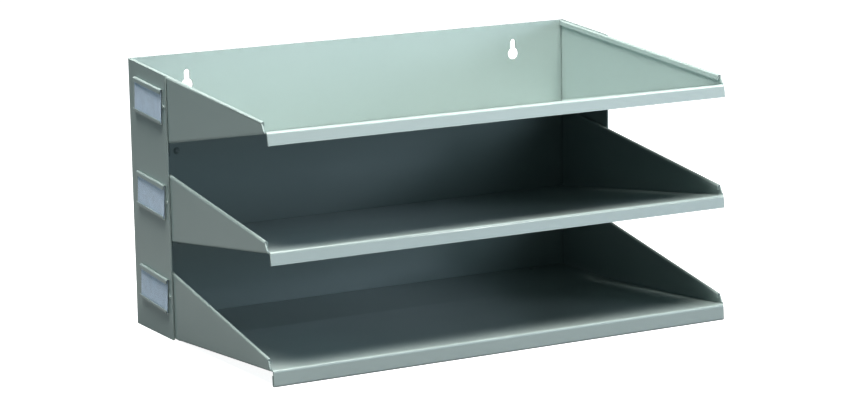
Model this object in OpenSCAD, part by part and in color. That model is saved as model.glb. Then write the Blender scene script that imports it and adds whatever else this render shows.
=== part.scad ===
// Three-tier desktop file sorter in folded and enamelled sheet steel.
// A back housing with two short wings carries three trays that tilt up towards the front,
// each a little steeper than the one below. Card label holders sit on the left wing.
// Origin: centre of the footprint on the desk. +X is the width, -Y the open front, +Z up.

/* [Housing] */
// Overall width across the wings
width = 381; // [340:1:460]
// Overall depth, from the back of the housing to the foremost tray lip
depth = 235; // [228:1:244]
// Height of the back panel
height = 203.2; // [200:0.1:206]
// Depth of the wings folded forward from the back panel
wing_depth = 68.3; // [60:0.1:80]
// Thickness of the sheet steel
sheet = 1; // [0.8:0.1:1.2]
// Inside radius of the sharp folds
fold_radius = 0.5; // [0.3:0.1:0.8]

/* [Trays] */
// Number of trays; the nodes below are written for three
tray_count = 3; // [3:1:3]
// Vertical distance from one tray lip to the next
front_pitch = 83.6; // [82.5:0.1:85]
// Tilt of the lowest tray
first_tilt = 3.65; // [3.4:0.05:3.9]
// Extra tilt of each tray above it
tilt_step = 3.35; // [3.2:0.05:3.5]
// Height of the front lip of the upper trays
lip_height = 9.5; // [8:0.1:12]
// Height of the front lip of the lowest tray, which reaches down to the desk
foot_lip_height = 12; // [11:0.1:13]
// Height of the hem folded up behind the lowest lip, which makes a rounded foot
foot_hem = 7.5; // [5:0.5:8]
// Outside radius of the soft folds of a tray
soft_radius = 1.6; // [1.5:0.1:2.5]
// Height of a side wall at the back, above the tray
wall_back = 67.5; // [62:0.1:68.3]
// Height of a side wall at its front corner, above the tray
wall_front = 8.7; // [7:0.1:12]
// Gap between a side wall and the wing outside it
wall_gap = 0.4; // [0.2:0.1:0.8]
// Depth of the safety hem folded inwards along a side wall
hem_depth = 4; // [3:0.1:5]
// Open space inside the hem
hem_gap = 0.6; // [0.4:0.1:0.8]
// Height of the flange that joins an upper tray to the back panel
rear_flange = 8.8; // [7:0.1:10]
// Length of the housing's flange under the back of the lowest tray
floor_flange = 13; // [11:0.5:16]

/* [Wall hanging] */
// Distance between the two keyholes
keyhole_spacing = 286; // [250:1:300]
// Height of the round opening of a keyhole
keyhole_height = 179.2; // [172:0.1:181]
// Diameter of the round opening, which passes a screw head
keyhole_head = 9.6; // [8:0.1:11]
// Width of the narrow slot above it, which holds the screw's shank
keyhole_slot = 4.8; // [4:0.1:5.5]
// Height of the slot's upper end
keyhole_top = 191; // [188:0.1:193]

/* [Labels] */
// Length of a label holder
holder_length = 49.4; // [46:0.1:51]
// Height of a label holder
holder_height = 26.6; // [24:0.1:29]
// Height of the lowest label holder's centre
first_label = 34.1; // [30:0.1:38]
// Vertical distance between label holders
label_pitch = 71.1; // [69:0.1:72]
// Thickness of the label holder's steel
holder_sheet = 0.5; // [0.4:0.05:0.6]
// Thickness of the card
card_thickness = 0.25; // [0.2:0.05:0.3]
// Thickness of the clear window in front of the card
window_thickness = 0.4; // [0.3:0.05:0.45]

/* [Hidden] */
$fn = 48;

ENAMEL = [0.66, 0.71, 0.67];
ENAMEL_PALE = [0.76, 0.82, 0.78];
HOLDER_ENAMEL = [0.62, 0.66, 0.63];
STEEL = [0.74, 0.75, 0.75];
CARD = [0.72, 0.77, 0.84];
CLEAR = [0.85, 0.92, 0.96, 0.4];

FOLD_STEPS = 6;
BOTTOM = 0;
MIDDLE = 1;
TOP = 2;

back_y = depth / 2;
top_tilt = first_tilt + tilt_step * (tray_count - 1);
// Every tray's lip corner stands on one line; the steepest lip leans out to the full depth.
lip_u = depth - lip_height * sin(top_tilt);
wall_front_u = lip_u - 5.8;
lip_relief_u = lip_u - 2;
wall_rear_u = sheet + 1;

tray_half = width / 2 - sheet - wall_gap;
lip_half = tray_half - 1.2;
hem_width = 2 * sheet + hem_gap;
flange_half = 148;
lug_half = flange_half + 12;
lug_extra = 2.4;
tray_rivet_x = flange_half + 6;
tray_rivet_drop = 6.2;
floor_rivet_u = 8;
// A rounded fold runs on flat for this length, and the flat sheet it joins starts half way along.
overlap = 0.5;
base_half = tray_half - soft_radius - overlap / 2;
slit = 0.5;
// The lowest lip runs to its full width up to this far above its hem.
foot_room = 1.5;
level_half = tray_half - sheet - slit;

tray_rivet_radius = 1.6;
tray_rivet_head_radius = 2.6;
tray_rivet_head_height = 0.9;
label_rivet_radius = 1;
label_rivet_head_radius = 1.6;
label_rivet_head_height = 0.4;
rivet_clearance = 0.02;

holder_depth = 2.6;
holder_roll_radius = 0.75;
holder_top_lip = 3.6;
holder_bottom_lip = 2.9;
ear_radius = 1.8;
ear_reach = 1.6;
label_centre_u = 38.4;
card_offset = 1.1;
window_offset = 1.5;
card_length = holder_length - 0.8;
card_height = holder_height - 2;
window_length = holder_length - 0.6;
window_height = holder_height - 2.8;

// ---- Where things are ----

// u runs from the back of the housing (0) to the front (depth).
function y_of(u) = back_y - u;

function tilt(tray) = first_tilt + tilt_step * tray;

// Height of a tray's lip corner, on its upper face.
function lip_z(tray) = foot_lip_height + front_pitch * tray;

// Underside of a tray's sloping sheet, as a straight line through the lip.
function slope_z(tray, u) = lip_z(tray) - sheet / cos(tilt(tray)) - (lip_u - u) * tan(tilt(tray));

// The lowest tray lies level on the housing's flange as far as the point where its slope starts.
function base_z(tray, u) = max(sheet, slope_z(tray, u));

knee_lean = tilt(BOTTOM) / 2;
knee_u = lip_u - (lip_z(BOTTOM) - sheet / cos(tilt(BOTTOM)) - sheet) / tan(tilt(BOTTOM));

// Upper edge of a tray's side walls, which runs straight from back to front.
wall_fall = (wall_back - wall_front) / wall_front_u;
function wall_z(tray, u) = slope_z(tray, u) + wall_back - wall_fall * u;
function wall_angle(tray) = atan(tan(tilt(tray)) - wall_fall);

function label_z(tray) = first_label + label_pitch * tray;

// ---- Folded sheet ----

function unit(v) = v / norm(v);
function left_of(v) = [-v[1], v[0]];
function turned(v, a) = [v[0] * cos(a) - v[1] * sin(a), v[0] * sin(a) + v[1] * cos(a)];
function turn_angle(a, b) = atan2(a[0] * b[1] - a[1] * b[0], a * b);

// One face of a corner without a radius.
function mitre(corner, d0, d1, thick, side) =
    let (half = turn_angle(d0, d1) / 2)
    [corner + left_of(turned(d0, half)) * side * thick / 2 / cos(half)];

// One face of the fold at a corner, as an arc about the fold's centre.
// side is 1 for the face left of the path and -1 for the face right of it.
function fold_arc(corner, d0, d1, radius, thick, side) =
    let (
        angle = turn_angle(d0, d1),
        turn = sign(angle),
        centre = corner - d0 * radius * tan(abs(angle) / 2) + left_of(d0) * turn * radius,
        reach = radius - side * turn * thick / 2
    )
    [for (i = [0:FOLD_STEPS]) centre - turn * reach * left_of(turned(d0, angle * i / FOLD_STEPS))];

// One face of a sheet whose middle follows a path of straight runs.
function sheet_face(path, radii, thick, side) =
    let (last = len(path) - 1, dirs = [for (i = [0:last - 1]) unit(path[i + 1] - path[i])])
    concat(
        [path[0] + side * thick / 2 * left_of(dirs[0])],
        [
            for (i = [1:last - 1])
                each radii[i - 1] == 0
                    ? mitre(path[i], dirs[i - 1], dirs[i], thick, side)
                    : fold_arc(path[i], dirs[i - 1], dirs[i], radii[i - 1], thick, side)
        ],
        [path[last] + side * thick / 2 * left_of(dirs[last - 1])]
    );

// Section of a folded sheet: the path of its middle, and the middle radius of each fold.
// A radius of 0 makes a mitred corner.
module folded_section(path, radii, thick) {
    far_face = sheet_face(path, radii, thick, -1);
    polygon(concat(
        sheet_face(path, radii, thick, 1),
        [for (i = [len(far_face) - 1:-1:0]) far_face[i]]
    ));
}

// Extrudes a section drawn in Y and Z along X, from x0 to x1.
module along_x(x0, x1) {
    translate([x0, 0, 0])
        rotate([90, 0, 90])
            linear_extrude(height = x1 - x0)
                children();
}

// Extrudes a section forwards along a sloping line that starts at (u, z).
// In the section, X stays across the sorter and Y is square to the line.
module along_slope(u, z, angle, length) {
    translate([0, y_of(u), z])
        rotate([90 - angle, 0, 0])
            linear_extrude(height = length)
                children();
}

module both_sides() {
    children();
    mirror([1, 0, 0])
        children();
}

// ---- Rivets ----

// Shallow dome on the XY plane, rising along +Z.
module dome(radius, rise) {
    ball = (radius * radius + rise * rise) / (2 * rise);
    intersection() {
        translate([0, 0, rise - ball])
            sphere(r = ball, $fn = 64);
        cylinder(r = radius, h = rise);
    }
}

// ---- Back housing ----

module keyhole_cut() {
    reach = 4 * sheet;
    translate([0, back_y + sheet, 0])
        rotate([90, 0, 0]) {
            translate([0, keyhole_height, 0])
                cylinder(d = keyhole_head, h = reach);
            translate([-keyhole_slot / 2, keyhole_height, 0])
                cube([keyhole_slot, keyhole_top - keyhole_slot / 2 - keyhole_height, reach]);
            translate([0, keyhole_top - keyhole_slot / 2, 0])
                cylinder(d = keyhole_slot, h = reach);
        }
}

// Starts children on the outer face of the housing, with Z pointing into the tray's sheet.
module at_tray_rivets(tray) {
    both_sides()
        if (tray == BOTTOM) {
            translate([tray_rivet_x, y_of(floor_rivet_u), 0])
                children();
        } else {
            translate([tray_rivet_x, back_y, base_z(tray, sheet) - tray_rivet_drop])
                rotate([90, 0, 0])
                    children();
        }
}

// Places children on the outer face of the left wing: X points out, Y to the back, Z up.
module at_label(tray) {
    translate([-width / 2, y_of(label_centre_u), label_z(tray)])
        rotate([-wall_angle(TOP), 0, 0])
            mirror([1, 0, 0])
                children();
}

module at_label_rivets() {
    for (end = [-1, 1])
        translate([0, end * (holder_length / 2 + ear_reach), 0])
            rotate([0, 90, 0])
                children();
}

module label_rivet_bores() {
    for (tray = [BOTTOM:TOP])
        at_label(tray)
            at_label_rivets()
                translate([0, 0, -4])
                    cylinder(r = label_rivet_radius + rivet_clearance, h = 4.5 + holder_sheet);
}

module back_housing() {
    middle = width / 2 - sheet / 2;
    front = y_of(wing_depth);
    rear = back_y - sheet / 2;
    radius = fold_radius + sheet / 2;
    color(ENAMEL)
        difference() {
            union() {
                linear_extrude(height = height)
                    folded_section(
                        [[-middle, front], [-middle, rear], [middle, rear], [middle, front]],
                        [radius, radius],
                        sheet
                    );
                // The flange under the lowest tray is folded forward from the back panel.
                along_x(-lip_half, lip_half)
                    folded_section(
                        [[y_of(floor_flange), sheet / 2], [rear, sheet / 2], [rear, 4 * sheet]],
                        [radius],
                        sheet
                    );
            }
            // The wings slope down with the side walls of the top tray.
            along_x(-width, width)
                polygon([
                    [y_of(sheet), wall_z(TOP, 0)],
                    [y_of(depth), wall_z(TOP, depth)],
                    [y_of(depth), 2 * height],
                    [y_of(sheet), 2 * height],
                ]);
            for (side = [-1, 1])
                translate([side * keyhole_spacing / 2, 0, 0])
                    keyhole_cut();
            for (tray = [BOTTOM:TOP])
                at_tray_rivets(tray)
                    translate([0, 0, -1])
                        cylinder(r = tray_rivet_radius + rivet_clearance, h = 2 + sheet);
            label_rivet_bores();
        }
}

// ---- Trays ----

// Middle of the tray's sheet: rear flange if there is one, base and front lip.
// The lip of the lowest tray is hemmed, folded up behind itself, to make a foot.
module tray_section(tray, flange = 0) {
    half = sheet / 2;
    forward = [-cos(tilt(tray)), sin(tilt(tray))];
    up = [sin(tilt(tray)), cos(tilt(tray))];
    rear_u = sheet + half;
    rear = [y_of(rear_u), base_z(tray, rear_u) + half];
    corner = [y_of(lip_u), lip_z(tray)] - half * (forward + up);
    soft = soft_radius - half;
    sharp = fold_radius + half;
    if (tray == BOTTOM) {
        heel = corner - up * (corner[1] - half) / cos(tilt(tray));
        toe = heel + [sheet + hem_gap, 0];
        turn = (sheet + hem_gap) / 2 - 0.05;
        knee = [y_of(knee_u) + half * tan(knee_lean), rear[1]];
        folded_section(
            [rear, knee, corner, heel, toe, toe + up * foot_hem],
            [0, soft, turn, turn],
            sheet
        );
    } else {
        lip_end = corner - up * (lip_height - half);
        folded_section(
            flange > 0 ? [rear - [0, flange - half], rear, corner, lip_end] : [rear, corner, lip_end],
            flange > 0 ? [sharp, soft] : [soft],
            sheet
        );
    }
}

// Soft fold between the base and the right-hand wall. It runs a little way into both.
module wall_fold_section() {
    translate([tray_half - soft_radius, soft_radius])
        difference() {
            union() {
                intersection() {
                    circle(r = soft_radius);
                    translate([0, -soft_radius])
                        square(soft_radius);
                }
                translate([-overlap, -soft_radius])
                    square([overlap, sheet]);
                translate([soft_radius - sheet, 0])
                    square([sheet, overlap]);
            }
            circle(r = soft_radius - sheet);
        }
}

// Side wall on the right, up to the middle of the hem's crown.
module side_wall(tray) {
    fold_top = soft_radius + overlap / 2;
    rise = fold_top / cos(tilt(tray));
    crown = (hem_width + overlap) / 2 / cos(wall_angle(tray));
    fold_end = lip_relief_u - 1;
    rear_foot = tray == BOTTOM
        ? [
            [y_of(wall_rear_u), sheet + slit / 2],
            [y_of(knee_u), sheet + slit / 2],
            [y_of(knee_u), sheet + rise],
        ]
        : [[y_of(wall_rear_u), base_z(tray, wall_rear_u) + rise]];
    along_x(tray_half - sheet, tray_half)
        polygon(concat(
            rear_foot,
            [
                [y_of(fold_end), base_z(tray, fold_end) + rise],
                [y_of(wall_front_u), wall_z(tray, wall_front_u) - crown],
                [y_of(wall_rear_u), wall_z(tray, wall_rear_u) - crown],
            ]
        ));
}

// Hem folded inwards along the upper edge of the right wall, open underneath.
module hem_section() {
    crown = hem_width / 2;
    translate([tray_half - crown, -crown])
        difference() {
            union() {
                intersection() {
                    circle(r = crown);
                    translate([-crown, 0])
                        square([hem_width, crown]);
                }
                translate([-crown, crown - hem_depth])
                    square([sheet, hem_depth - crown]);
                translate([crown - sheet, -overlap])
                    square([sheet, overlap]);
            }
            circle(r = hem_gap / 2);
        }
}

// Fills the hem's gap where its front end is pressed shut.
module hem_end_section() {
    crown = hem_width / 2;
    bite = 0.2;
    translate([tray_half - crown - hem_gap / 2 - bite, bite - hem_depth])
        square([hem_gap + 2 * bite, hem_depth - crown + hem_gap / 2]);
}

module tray_side(tray) {
    hem_run = (wall_front_u - wall_rear_u) / cos(wall_angle(tray));
    fold_start = tray == BOTTOM ? knee_u + slit : wall_rear_u;
    fold_run = (lip_relief_u - fold_start) / cos(tilt(tray));
    side_wall(tray);
    along_slope(wall_rear_u, wall_z(tray, wall_rear_u), wall_angle(tray), hem_run)
        hem_section();
    along_slope(wall_front_u - 1.1, wall_z(tray, wall_front_u - 1.1), wall_angle(tray), 1)
        hem_end_section();
    along_slope(fold_start, slope_z(tray, fold_start), tilt(tray), fold_run)
        wall_fold_section();
}

module tray(tray) {
    color(tray == TOP ? ENAMEL_PALE : ENAMEL)
        difference() {
            union() {
                along_x(-base_half, base_half)
                    tray_section(tray);
                // The lip runs on past the side folds, in front of a small relief.
                intersection() {
                    along_x(-lip_half, lip_half)
                        tray_section(tray);
                    union() {
                        translate([-width / 2, y_of(depth), 0])
                            cube([width, depth - lip_relief_u, height]);
                        if (tray == BOTTOM)
                            translate([-width / 2, y_of(depth), 0])
                                cube([width, 3 * hem_width, foot_hem + foot_room]);
                    }
                }
                // Behind its knee the lowest tray is slit along the side folds and lies level.
                if (tray == BOTTOM)
                    intersection() {
                        along_x(-level_half, level_half)
                            tray_section(tray);
                        translate([-width / 2, y_of(knee_u - 2 * slit), 0])
                            cube([width, depth, height]);
                    }
                else
                    along_x(-flange_half, flange_half)
                        tray_section(tray, rear_flange);
                both_sides() {
                    if (tray != BOTTOM)
                        along_x(flange_half - overlap, lug_half)
                            tray_section(tray, rear_flange + lug_extra);
                    tray_side(tray);
                }
            }
            at_tray_rivets(tray)
                cylinder(r = tray_rivet_radius + rivet_clearance, h = 4 * sheet);
            label_rivet_bores();
        }
}

module bottom_tray() {
    tray(BOTTOM);
}

module middle_tray() {
    tray(MIDDLE);
}

module top_tray() {
    tray(TOP);
}

// Rivets through the housing and the trays. Their tails finish flush with the housing.
module tray_rivets() {
    color(STEEL)
        for (tray = [BOTTOM:TOP])
            at_tray_rivets(tray) {
                cylinder(r = tray_rivet_radius, h = 2 * sheet);
                translate([0, 0, 2 * sheet])
                    dome(tray_rivet_head_radius, tray_rivet_head_height);
            }
}

// ---- Label holders ----

// Section of the holder: a plate whose upper and lower edges are rolled over the card.
module label_holder(tray) {
    half = holder_sheet / 2;
    edge = holder_height / 2 - half;
    front = holder_depth - half;
    radius = holder_roll_radius + half;
    color(HOLDER_ENAMEL)
        at_label(tray)
            difference() {
                union() {
                    translate([0, holder_length / 2, 0])
                        rotate([90, 0, 0])
                            linear_extrude(height = holder_length)
                                folded_section(
                                    [
                                        [front, holder_height / 2 - holder_top_lip],
                                        [front, edge],
                                        [half, edge],
                                        [half, -edge],
                                        [front, -edge],
                                        [front, -holder_height / 2 + holder_bottom_lip],
                                    ],
                                    [radius, radius, radius, radius],
                                    holder_sheet
                                );
                    for (end = [-1, 1])
                        translate([0, end * (holder_length / 2 + ear_reach), 0])
                            rotate([0, 90, 0])
                                cylinder(r = ear_radius, h = holder_sheet);
                    translate([0, -holder_length / 2 - ear_reach, -ear_radius])
                        cube([holder_sheet, holder_length + 2 * ear_reach, 2 * ear_radius]);
                }
                at_label_rivets()
                    translate([0, 0, -1])
                        cylinder(r = label_rivet_radius + rivet_clearance, h = 2 + holder_sheet);
            }
}

module label_holder_bottom() {
    label_holder(BOTTOM);
}

module label_holder_middle() {
    label_holder(MIDDLE);
}

module label_holder_top() {
    label_holder(TOP);
}

module label_card(tray) {
    color(CARD)
        at_label(tray)
            translate([card_offset, -card_length / 2, -card_height / 2])
                cube([card_thickness, card_length, card_height]);
}

module label_card_bottom() {
    label_card(BOTTOM);
}

module label_card_middle() {
    label_card(MIDDLE);
}

module label_card_top() {
    label_card(TOP);
}

module label_window(tray) {
    color(CLEAR)
        at_label(tray)
            translate([window_offset, -window_length / 2, -window_height / 2])
                cube([window_thickness, window_length, window_height]);
}

module label_window_bottom() {
    label_window(BOTTOM);
}

module label_window_middle() {
    label_window(MIDDLE);
}

module label_window_top() {
    label_window(TOP);
}

// Rivets through a holder's ears, the wing and the tray wall behind it.
module label_rivets() {
    stack = holder_sheet + 2 * sheet + wall_gap;
    color(STEEL)
        for (tray = [BOTTOM:TOP])
            at_label(tray)
                at_label_rivets() {
                    translate([0, 0, holder_sheet - stack])
                        cylinder(r = label_rivet_radius, h = stack);
                    translate([0, 0, holder_sheet])
                        dome(label_rivet_head_radius, label_rivet_head_height);
                    translate([0, 0, holder_sheet - stack])
                        mirror([0, 0, 1])
                            dome(label_rivet_head_radius, label_rivet_head_height);
                }
}

back_housing();
bottom_tray();
middle_tray();
top_tray();
tray_rivets();
label_holder_bottom();
label_holder_middle();
label_holder_top();
label_card_bottom();
label_card_middle();
label_card_top();
label_window_bottom();
label_window_middle();
label_window_top();
label_rivets();
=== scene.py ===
import math

import bpy
from mathutils import Matrix, Vector

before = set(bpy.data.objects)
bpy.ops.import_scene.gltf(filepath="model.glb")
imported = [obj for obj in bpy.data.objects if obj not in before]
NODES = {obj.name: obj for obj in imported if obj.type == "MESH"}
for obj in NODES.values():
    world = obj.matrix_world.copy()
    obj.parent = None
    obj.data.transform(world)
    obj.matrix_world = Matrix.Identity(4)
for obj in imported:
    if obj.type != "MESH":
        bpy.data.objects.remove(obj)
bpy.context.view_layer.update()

# Edges and normals. Lengths are in metres.
WELD_DISTANCE = 1e-6
SHEET_BEVEL = 0.0003
HOLDER_BEVEL = 0.0001
BEVEL_SEGMENTS = 2
SHARP_ANGLE = math.radians(40)
# Polygons of one flat region face the same way to this cosine.
SAME_FACING = 1 - 1e-6
# A flat region is wider than this on average. The facets of a fold are narrower.
FLAT_WIDTH = 0.0009

# The enamel's clear top layer, and how far its roughness varies.
ENAMEL_COAT = 0.35
ENAMEL_COAT_ROUGHNESS = 0.18
ENAMEL_ROUGHNESS_VARIES = 0.02

# The sky: what lights the object, and what the camera sees.
SKY_LIGHT = (0.55, 0.88, 1.0)
SKY_LIGHT_STRENGTH = 0.12
SKY_SEEN = (1.0, 1.0, 1.0)
SKY_SEEN_STRENGTH = 1.1

# The floor: its tones to the camera, its tone to all other rays, and its glow to the camera.
FLOOR_SIZE = 12
PAPER_DARK = (0.42, 0.42, 0.42)
PAPER_LIGHT = (0.44, 0.44, 0.44)
PAPER_BOUNCE = (0.2, 0.2, 0.2)
PAPER_ROUGHNESS = 0.9
PAPER_GLOW = 0.93

# Every light points here. Each row is name, place, size, watts and colour.
LIGHT_TARGET = (0, 0, 0.1)
LIGHTS = (
    ("top_soft", (-0.15, -0.28, 1.62), (1.4, 0.9), 71, (1.05, 0.98, 0.95)),
    ("right_key", (2.05, -0.85, 0.6), (0.6, 0.5), 14, (0.92, 0.92, 1.08)),
    ("front_soft", (1.05, -1.93, 0.3), (1.0, 0.5), 6.5, (0.76, 0.9, 1.04)),
    ("left_fill", (-1.9, 0.2, 1.2), (0.8, 0.8), 2.2, (0.2, 0.8, 1.0)),
    ("under_fill", (0.0, 0.0, -0.9), (0.5, 0.5), 1.2, (0.95, 0.98, 1.0)),
)

# The camera stands where the photograph's did, to the left and a little above.
YAW, PITCH, ROLL = 28.6525, 11.0215, -0.9827
POSITION = (-1.02324, -1.8744, 0.50555)
FOCAL_IN_WIDTHS = 3.367
SENSOR_WIDTH = 36
CLIP_NEAR, CLIP_FAR = 0.05, 50
VIEW_GAMMA = 0.83

# Sockets of a colour mix node, which are numbered because its names repeat.
MIX_A, MIX_B, MIX_RESULT = 6, 7, 2

# ---- Materials ----


class Graph:
    """A material's node tree, with short calls for the nodes used here."""

    def __init__(self, name):
        self.mat = bpy.data.materials.new(name)
        self.mat.use_nodes = True
        self.tree = self.mat.node_tree
        self.tree.nodes.clear()
        self.out = self.tree.nodes.new("ShaderNodeOutputMaterial")
        self.bsdf = self.tree.nodes.new("ShaderNodeBsdfPrincipled")
        self.tree.links.new(self.bsdf.outputs[0], self.out.inputs[0])
        self.coords = self.tree.nodes.new("ShaderNodeTexCoord").outputs["Object"]

    def node(self, kind, links=(), **values):
        n = self.tree.nodes.new(kind)
        for key, value in values.items():
            if key in n.inputs.keys():
                n.inputs[key].default_value = value
            else:
                setattr(n, key, value)
        for socket, source in links:
            self.tree.links.new(source, n.inputs[socket])
        return n

    def noise(self, scale, detail=3.0, rough=0.5, stretch=(1, 1, 1)):
        place = self.node("ShaderNodeMapping", [("Vector", self.coords)], Scale=stretch)
        return self.node(
            "ShaderNodeTexNoise",
            [("Vector", place.outputs[0])],
            Scale=scale,
            Detail=detail,
            Roughness=rough,
        ).outputs["Fac"]

    def ramp(self, source, low, high, a=0.0, b=1.0):
        return self.node(
            "ShaderNodeMapRange",
            [("Value", source)],
            **{"From Min": low, "From Max": high, "To Min": a, "To Max": b},
        ).outputs[0]

    def mix(self, factor, a, b):
        n = self.node("ShaderNodeMix", [("Factor", factor)], data_type="RGBA")
        for index, value in ((MIX_A, a), (MIX_B, b)):
            if isinstance(value, tuple):
                n.inputs[index].default_value = (*value, 1.0)
            else:
                self.tree.links.new(value, n.inputs[index])
        return n.outputs[MIX_RESULT]

    def set(self, **values):
        for key, value in values.items():
            socket = self.bsdf.inputs[key.replace("_", " ")]
            if isinstance(value, bpy.types.NodeSocket):
                self.tree.links.new(value, socket)
            elif isinstance(value, tuple):
                socket.default_value = (*value, 1.0)
            else:
                socket.default_value = value

    def bump(self, *layers):
        """Layers of (height, strength, distance in metres), the coarsest first."""
        normal = None
        for height, strength, distance in layers:
            links = [("Height", height)] + ([("Normal", normal)] if normal else [])
            n = self.node("ShaderNodeBump", links, Strength=strength, Distance=distance)
            normal = n.outputs[0]
        self.tree.links.new(normal, self.bsdf.inputs["Normal"])


def enamel(name, base, light, rough=0.3):
    """Stove enamel on sheet steel: faint orange peel and a slow drift in tone."""
    g = Graph(name)
    drift = g.noise(9.0, 4.0)
    cloud = g.noise(30.0, 2.0, 0.4)
    peel = g.noise(600.0, 2.0, 0.4)
    tone = g.mix(g.ramp(drift, 0.3, 0.7), base, light)
    g.set(
        Base_Color=tone,
        Roughness=g.ramp(
            cloud,
            0.25,
            0.75,
            rough - ENAMEL_ROUGHNESS_VARIES,
            rough + ENAMEL_ROUGHNESS_VARIES,
        ),
        Coat_Weight=ENAMEL_COAT,
        Coat_Roughness=ENAMEL_COAT_ROUGHNESS,
    )
    g.bump((cloud, 0.06, 0.0003), (peel, 0.08, 0.00005))
    return g.mat


def rivet_enamel(name):
    """Painted rivet steel, worn through in small specks."""
    g = Graph(name)
    wear = g.noise(700.0, 5.0, 0.65)
    tone = g.mix(g.ramp(wear, 0.5, 0.68), (0.3, 0.36, 0.345), (0.46, 0.5, 0.5))
    g.set(
        Base_Color=tone,
        Metallic=g.ramp(wear, 0.55, 0.7, 0.0, 0.7),
        Roughness=g.ramp(wear, 0.3, 0.7, 0.28, 0.42),
    )
    g.bump((wear, 0.25, 0.0001))
    return g.mat


def card_paper(name):
    """Pale blue card with a fine grain along its length."""
    g = Graph(name)
    fibre = g.noise(900.0, 6.0, 0.7, (1, 0.25, 1))
    cloud = g.noise(60.0, 3.0)
    tone = g.mix(g.ramp(cloud, 0.3, 0.7), (0.7, 0.83, 0.97), (0.73, 0.86, 0.99))
    tone = g.mix(g.ramp(fibre, 0.4, 0.65, 0.0, 0.15), tone, (0.8, 0.89, 0.99))
    g.set(Base_Color=tone, Roughness=g.ramp(fibre, 0.3, 0.7, 0.75, 0.92))
    g.bump((fibre, 0.3, 0.00005))
    return g.mat


def clear_sheet(name):
    """Clear plastic film: mostly see-through, with a soft sheen, haze and fine scratches."""
    g = Graph(name)
    haze = g.noise(120.0, 4.0)
    scratch = g.noise(600.0, 2.0, 0.5, (1, 0.05, 2.5))
    g.set(
        Base_Color=g.mix(g.ramp(haze, 0.3, 0.7), (0.9, 0.94, 0.97), (0.97, 0.985, 1.0)),
        Roughness=g.ramp(scratch, 0.4, 0.7, 0.08, 0.2),
        IOR=1.46,
        Alpha=g.ramp(haze, 0.2, 0.8, 0.08, 0.14),
        Specular_IOR_Level=0.6,
    )
    g.bump((haze, 0.1, 0.0002), (scratch, 0.15, 0.00002))
    return g.mat


HOUSING = enamel("housing_enamel", (0.366, 0.45, 0.434), (0.379, 0.463, 0.447))
TRAYS = enamel("tray_enamel", (0.37, 0.454, 0.438), (0.384, 0.468, 0.452))
HOLDERS = enamel("holder_enamel", (0.39, 0.475, 0.462), (0.41, 0.49, 0.478), 0.32)
RIVETS = rivet_enamel("rivet_enamel")
CARD = card_paper("card_paper")
WINDOW = clear_sheet("clear_sheet")


def finish_for(node):
    """The material of a CAD node, by the start of its name."""
    for start, mat in (
        ("back_housing", HOUSING),
        ("label_card", CARD),
        ("label_window", WINDOW),
        ("label_holder", HOLDERS),
        ("tray_rivets", RIVETS),
        ("label_rivets", RIVETS),
    ):
        if node.startswith(start):
            return mat
    return TRAYS


def flat_regions(mesh):
    """Polygons that lie in flat faces of the sheet, as against the narrow facets of its folds."""
    around = {}
    for polygon in mesh.polygons:
        for key in polygon.edge_keys:
            around.setdefault(key, []).append(polygon.index)
    seen, flat = set(), set()
    for start in mesh.polygons:
        if start.index in seen:
            continue
        seen.add(start.index)
        region, queue = [], [start.index]
        while queue:
            polygon = mesh.polygons[queue.pop()]
            region.append(polygon)
            for key in polygon.edge_keys:
                for other in around[key]:
                    if other in seen:
                        continue
                    if mesh.polygons[other].normal.dot(start.normal) > SAME_FACING:
                        seen.add(other)
                        queue.append(other)
        points = [mesh.vertices[v].co for polygon in region for v in polygon.vertices]
        length = max((point - points[0]).length for point in points)
        if sum(polygon.area for polygon in region) > FLAT_WIDTH * length:
            flat.update(polygon.index for polygon in region)
    return flat


for name, obj in NODES.items():
    obj.data.materials.clear()
    obj.data.materials.append(finish_for(name))
    if name.startswith(("label_card", "label_window")):
        continue
    weld = obj.modifiers.new("weld", "WELD")
    weld.merge_threshold = WELD_DISTANCE
    if not name.endswith("rivets"):
        bevel = obj.modifiers.new("edge", "BEVEL")
        bevel.limit_method = "ANGLE"
        bevel.angle_limit = SHARP_ANGLE
        bevel.width = HOLDER_BEVEL if name.startswith("label_holder") else SHEET_BEVEL
        bevel.segments = BEVEL_SEGMENTS
        bevel.use_clamp_overlap = True
    flat = flat_regions(obj.data)
    for polygon in obj.data.polygons:
        polygon.use_smooth = polygon.index not in flat
    normals = obj.modifiers.new("normals", "WEIGHTED_NORMAL")
    normals.keep_sharp = True


# ---- Floor, light, camera ----

world = bpy.data.worlds.new("studio")
bpy.context.scene.world = world
world.use_nodes = True
tree = world.node_tree
sky = tree.nodes["Background"]
seen = tree.nodes.new("ShaderNodeLightPath").outputs["Is Camera Ray"]
colour = tree.nodes.new("ShaderNodeMix")
colour.data_type = "RGBA"
colour.inputs[MIX_A].default_value = (*SKY_LIGHT, 1.0)
colour.inputs[MIX_B].default_value = (*SKY_SEEN, 1.0)
tree.links.new(seen, colour.inputs[0])
tree.links.new(colour.outputs[MIX_RESULT], sky.inputs[0])
brightness = tree.nodes.new("ShaderNodeMapRange")
brightness.inputs["To Min"].default_value = SKY_LIGHT_STRENGTH
brightness.inputs["To Max"].default_value = SKY_SEEN_STRENGTH
tree.links.new(seen, brightness.inputs["Value"])
tree.links.new(brightness.outputs[0], sky.inputs[1])

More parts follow.
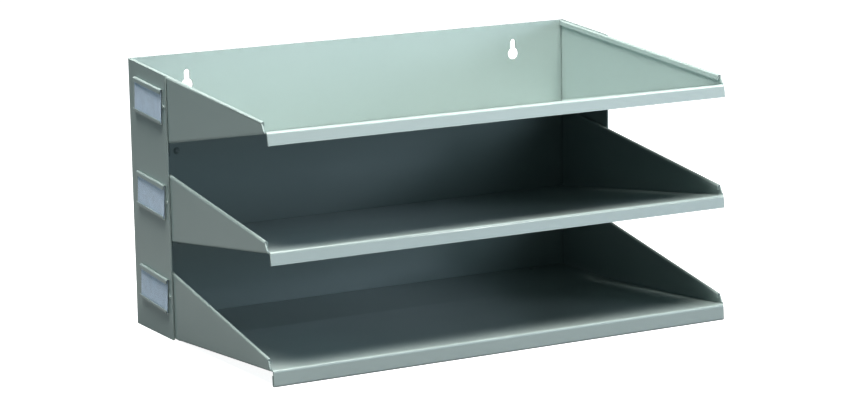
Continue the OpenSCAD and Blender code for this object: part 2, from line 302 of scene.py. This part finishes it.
bpy.ops.mesh.primitive_plane_add(size=FLOOR_SIZE, location=(0, 0, 0))
floor = bpy.context.object
floor.name = "floor"
g = Graph("floor_paper")
grain = g.noise(400.0, 3.0)
seen = g.node("ShaderNodeLightPath").outputs["Is Camera Ray"]
paper = g.mix(g.ramp(grain, 0.3, 0.7), PAPER_DARK, PAPER_LIGHT)
g.set(
    Base_Color=g.mix(seen, PAPER_BOUNCE, paper),
    Roughness=PAPER_ROUGHNESS,
    Emission_Color=(1.0, 1.0, 1.0),
    Emission_Strength=g.ramp(seen, 0.0, 1.0, 0.0, PAPER_GLOW),
)
# The floor is clear from below and to shadow rays, so the underside can be seen and lit.
clear = g.node("ShaderNodeBsdfTransparent").outputs[0]
below = g.node("ShaderNodeNewGeometry").outputs["Backfacing"]
shadow = g.node("ShaderNodeLightPath").outputs["Is Shadow Ray"]
open_below = g.node("ShaderNodeMath", [(0, below), (1, shadow)], operation="MAXIMUM")
sides = g.node(
    "ShaderNodeMixShader",
    [("Fac", open_below.outputs[0]), (1, g.bsdf.outputs[0]), (2, clear)],
)
g.tree.links.new(sides.outputs[0], g.out.inputs[0])
floor.data.materials.append(g.mat)


def area_light(name, at, size, power, colour):
    """A soft light that the camera doesn't see."""
    data = bpy.data.lights.new(name, "AREA")
    data.shape = "RECTANGLE"
    data.size, data.size_y = size
    data.energy = power
    data.color = colour
    obj = bpy.data.objects.new(name, data)
    bpy.context.scene.collection.objects.link(obj)
    obj.location = at
    obj.rotation_mode = "QUATERNION"
    obj.rotation_quaternion = (Vector(LIGHT_TARGET) - Vector(at)).to_track_quat("-Z", "Y")
    obj.visible_camera = False


for row in LIGHTS:
    area_light(*row)

a, e = math.radians(-YAW), math.radians(PITCH)
forward = -Vector((math.sin(a) * math.cos(e), -math.cos(a) * math.cos(e), math.sin(e)))
right = forward.cross(Vector((0, 0, 1))).normalized()
up = right.cross(forward)
roll = math.radians(ROLL)
right, up = (
    right * math.cos(roll) + up * math.sin(roll),
    up * math.cos(roll) - right * math.sin(roll),
)
data = bpy.data.cameras.new("camera")
data.sensor_width = SENSOR_WIDTH
data.lens = SENSOR_WIDTH * FOCAL_IN_WIDTHS
data.clip_start, data.clip_end = CLIP_NEAR, CLIP_FAR
camera = bpy.data.objects.new("camera", data)
bpy.context.scene.collection.objects.link(camera)
camera.matrix_world = Matrix(
    (
        (right.x, up.x, -forward.x, POSITION[0]),
        (right.y, up.y, -forward.y, POSITION[1]),
        (right.z, up.z, -forward.z, POSITION[2]),
        (0, 0, 0, 1),
    )
)
bpy.context.scene.camera = camera

bpy.context.scene.view_settings.view_transform = "Standard"
bpy.context.scene.view_settings.gamma = VIEW_GAMMA
